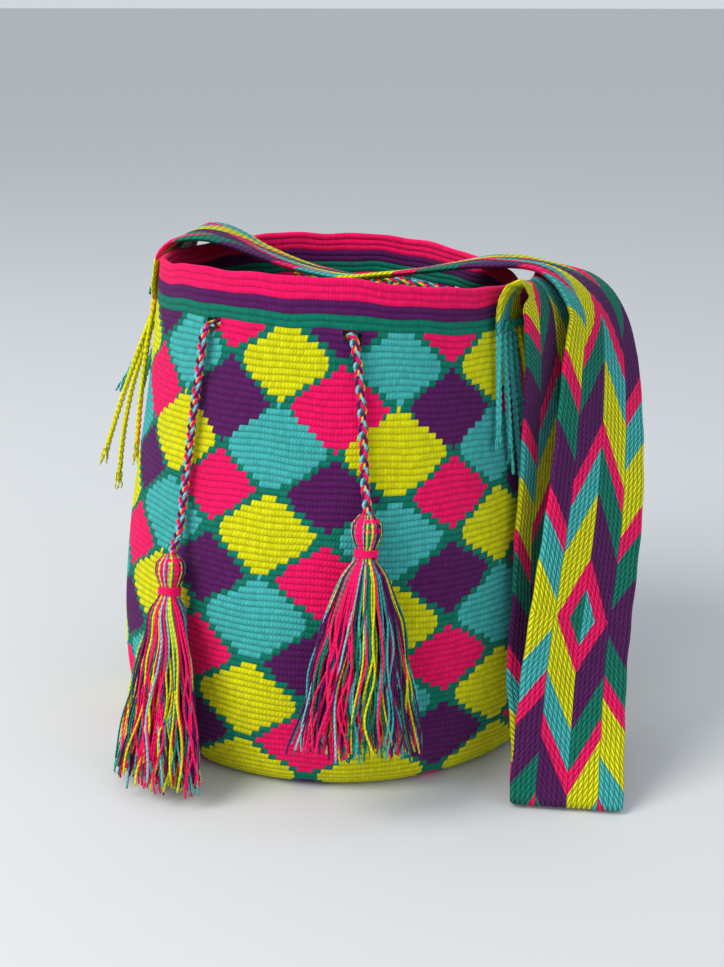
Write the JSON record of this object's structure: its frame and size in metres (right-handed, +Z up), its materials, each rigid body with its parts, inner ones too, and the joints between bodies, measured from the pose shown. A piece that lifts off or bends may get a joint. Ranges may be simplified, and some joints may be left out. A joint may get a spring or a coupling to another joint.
{
  "type": "crocheted bucket bag",
  "caption": "Tall crocheted bucket bag in a bright diamond pattern, with a wide woven shoulder strap, a braided drawstring and tassels.",
  "frame": {"origin": "centre of the base, on the surface that the bag stands on", "axes": "+Z up; -Y the front, where the drawstring comes out; -X and +X the two ends of the shoulder strap"},
  "size_m": [0.4078, 0.3433, 0.3279],
  "materials": {
    "bag_crochet": "matte crocheted acrylic yarn in five colours",
    "strap_weave": "matte ply-split braided yarn in five colours",
    "drawstring_braid": "matte braided multicolour yarn",
    "tassel_yarn": "soft cut yarn in mixed colours",
    "binding_yarn": "matte wound pink yarn",
    "fringe_yellow": "matte twisted yellow yarn",
    "fringe_teal": "matte twisted teal yarn",
    "stitch_yarn": "matte sewing yarn"
  },
  "bodies": {
    "root": {"bag_body": "bag_crochet", "shoulder_strap": "strap_weave", "drawstring": "drawstring_braid", "left_tassel": "tassel_yarn", "left_tassel_binding": "binding_yarn", "right_tassel": "tassel_yarn", "right_tassel_binding": "binding_yarn", "left_fringe_cord_1": "fringe_yellow", "left_fringe_cord_2": "fringe_yellow", "left_fringe_cord_3": "fringe_yellow", "left_fringe_cord_4": "fringe_yellow", "left_fringe_cord_5": "fringe_teal", "left_fringe_cord_6": "fringe_teal", "right_fringe_cord_1": "fringe_teal", "right_fringe_cord_2": "fringe_teal", "right_fringe_cord_3": "fringe_teal", "right_fringe_cord_4": "fringe_teal", "right_fringe_cord_5": "fringe_yellow", "right_fringe_cord_6": "fringe_yellow", "right_fringe_cord_7": "fringe_yellow", "right_fringe_cord_8": "fringe_yellow", "left_strap_stitching": "stitch_yarn", "right_strap_stitching": "stitch_yarn"}
  },
  "joints": []
}
